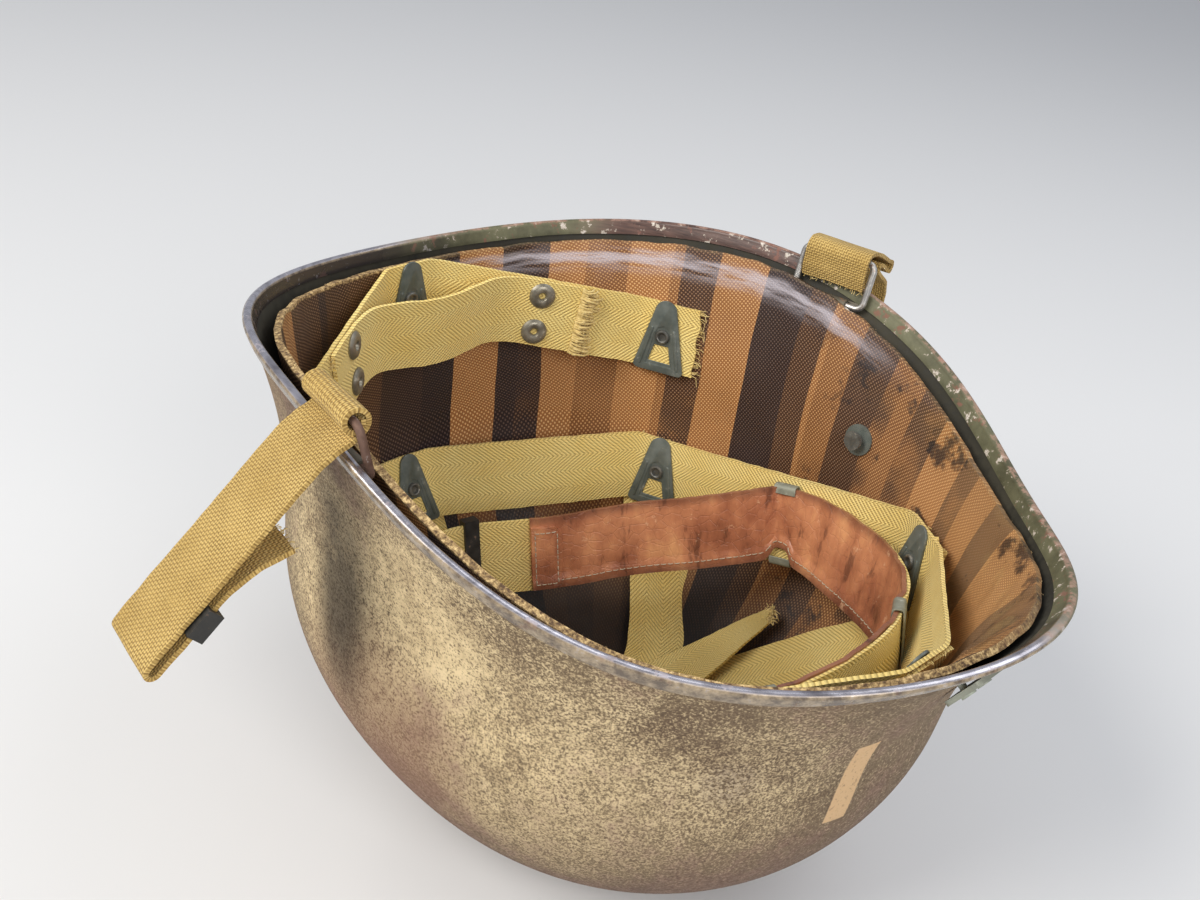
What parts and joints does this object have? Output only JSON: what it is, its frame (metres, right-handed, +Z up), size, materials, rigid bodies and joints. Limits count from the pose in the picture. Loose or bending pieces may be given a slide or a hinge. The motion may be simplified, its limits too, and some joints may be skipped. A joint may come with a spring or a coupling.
{
  "type": "steel pot helmet",
  "caption": "Steel pot helmet upside down on its crown: flared shell with rim band, striped fibre liner with webbing suspension and leather sweatband, wire bales and chinstraps.",
  "frame": {"origin": "the point of the crown that the upside-down helmet rests on, in the middle of the small flat of the shell", "axes": "+X to the visor at the front, +Y to the wearer's right, +Z up to the open side; the helmet stands upside down"},
  "size_m": [0.2867, 0.3225, 0.1901],
  "materials": {
    "shell_paint": "worn coarse-grained olive paint with rust patches",
    "rim_steel": "worn bare steel with paint chips",
    "bracket_steel": "dull steel",
    "plate_metal": "pale worn metal",
    "wire_rust": "rusty wire",
    "wire_steel": "worn bright wire",
    "strap_webbing": "khaki basket-weave cotton webbing",
    "buckle_black": "worn blackened metal",
    "liner_resin": "woven duck set in resin, striped brown",
    "webbing": "khaki herringbone cotton webbing",
    "leather": "worn red-brown leather",
    "clip_metal": "pale green-grey metal",
    "rivet_metal": "dark green-grey metal",
    "snap_metal": "dull blackened snap",
    "washer_paint": "dark green-grey enamel"
  },
  "bodies": {
    "shell": {"steel_shell": "shell_paint", "rim_band": "rim_steel", "bale_bracket_left": "bracket_steel", "bale_bracket_right": "bracket_steel", "front_plate": "plate_metal", "front_plate_posts": "plate_metal"},
    "bale_left_body": {"bale_left": "wire_rust"},
    "bale_right_body": {"bale_right": "wire_steel"},
    "strap_left_body": {"chinstrap_left": "strap_webbing"},
    "strap_right_body": {"chinstrap_right": "strap_webbing"},
    "buckle_body": {"chinstrap_buckle": "buckle_black"},
    "hook_body": {"chinstrap_hook": "buckle_black"},
    "liner": {"liner_shell": "liner_resin", "neck_band": "webbing", "nape_strap": "webbing", "head_band": "webbing", "sweatband_leather": "leather", "sweatband_webbing": "webbing", "sweatband_buckle": "buckle_black", "sweatband_clips": "clip_metal", "head_rivets": "rivet_metal", "neck_rivets": "rivet_metal", "nape_snaps_left": "snap_metal", "nape_snaps_right": "snap_metal", "liner_stud_left": "rivet_metal", "liner_stud_right": "rivet_metal", "stud_washer_left": "washer_paint", "stud_washer_right": "washer_paint", "crown_leg_1": "webbing", "crown_leg_2": "webbing", "crown_leg_3": "webbing", "crown_leg_4": "webbing", "crown_leg_5": "webbing", "crown_leg_6": "webbing", "head_washer_1": "washer_paint", "head_washer_2": "washer_paint", "head_washer_3": "washer_paint", "head_washer_4": "washer_paint", "head_washer_5": "washer_paint", "head_washer_6": "washer_paint", "neck_washer_left": "washer_paint", "neck_washer_rear": "washer_paint", "neck_washer_right": "washer_paint"}
  },
  "joints": [
    {"name": "liner_lift", "type": "slide", "parent": "shell", "child": "liner", "axis": [0, 0, 1], "range_m": [0, 0.19]},
    {"name": "bale_left_hinge", "type": "hinge", "parent": "shell", "child": "bale_left_body", "pos_m": [-0.01449, -0.11176, 0.16981], "axis": [0.9839, -0.1787, 0], "range_deg": [-14, 0]},
    {"name": "bale_right_hinge", "type": "hinge", "parent": "shell", "child": "bale_right_body", "pos_m": [-0.01449, 0.11176, 0.16981], "axis": [-0.9839, -0.1787, 0], "range_deg": [-14, 0]},
    {"name": "strap_left_hinge", "type": "hinge", "parent": "bale_left_body", "child": "strap_left_body", "pos_m": [-0.01531, -0.11627, 0.1869], "axis": [0.9839, -0.1787, 0], "range_deg": [-70, 0]},
    {"name": "strap_right_hinge", "type": "hinge", "parent": "bale_right_body", "child": "strap_right_body", "pos_m": [-0.01531, 0.11627, 0.1869], "axis": [-0.9839, -0.1787, 0], "range_deg": [-70, 0]},
    {"name": "buckle_slide", "type": "slide", "parent": "strap_left_body", "child": "buckle_body", "axis": [-0.1219, -0.671, -0.7314], "range_m": [-0.007, 0.007]},
    {"name": "hook_hinge", "type": "hinge", "parent": "strap_right_body", "child": "hook_body", "pos_m": [-0.01945, 0.13909, 0.0885], "axis": [-0.9839, -0.1787, 0], "range_deg": [-60, 60]}
  ]
}
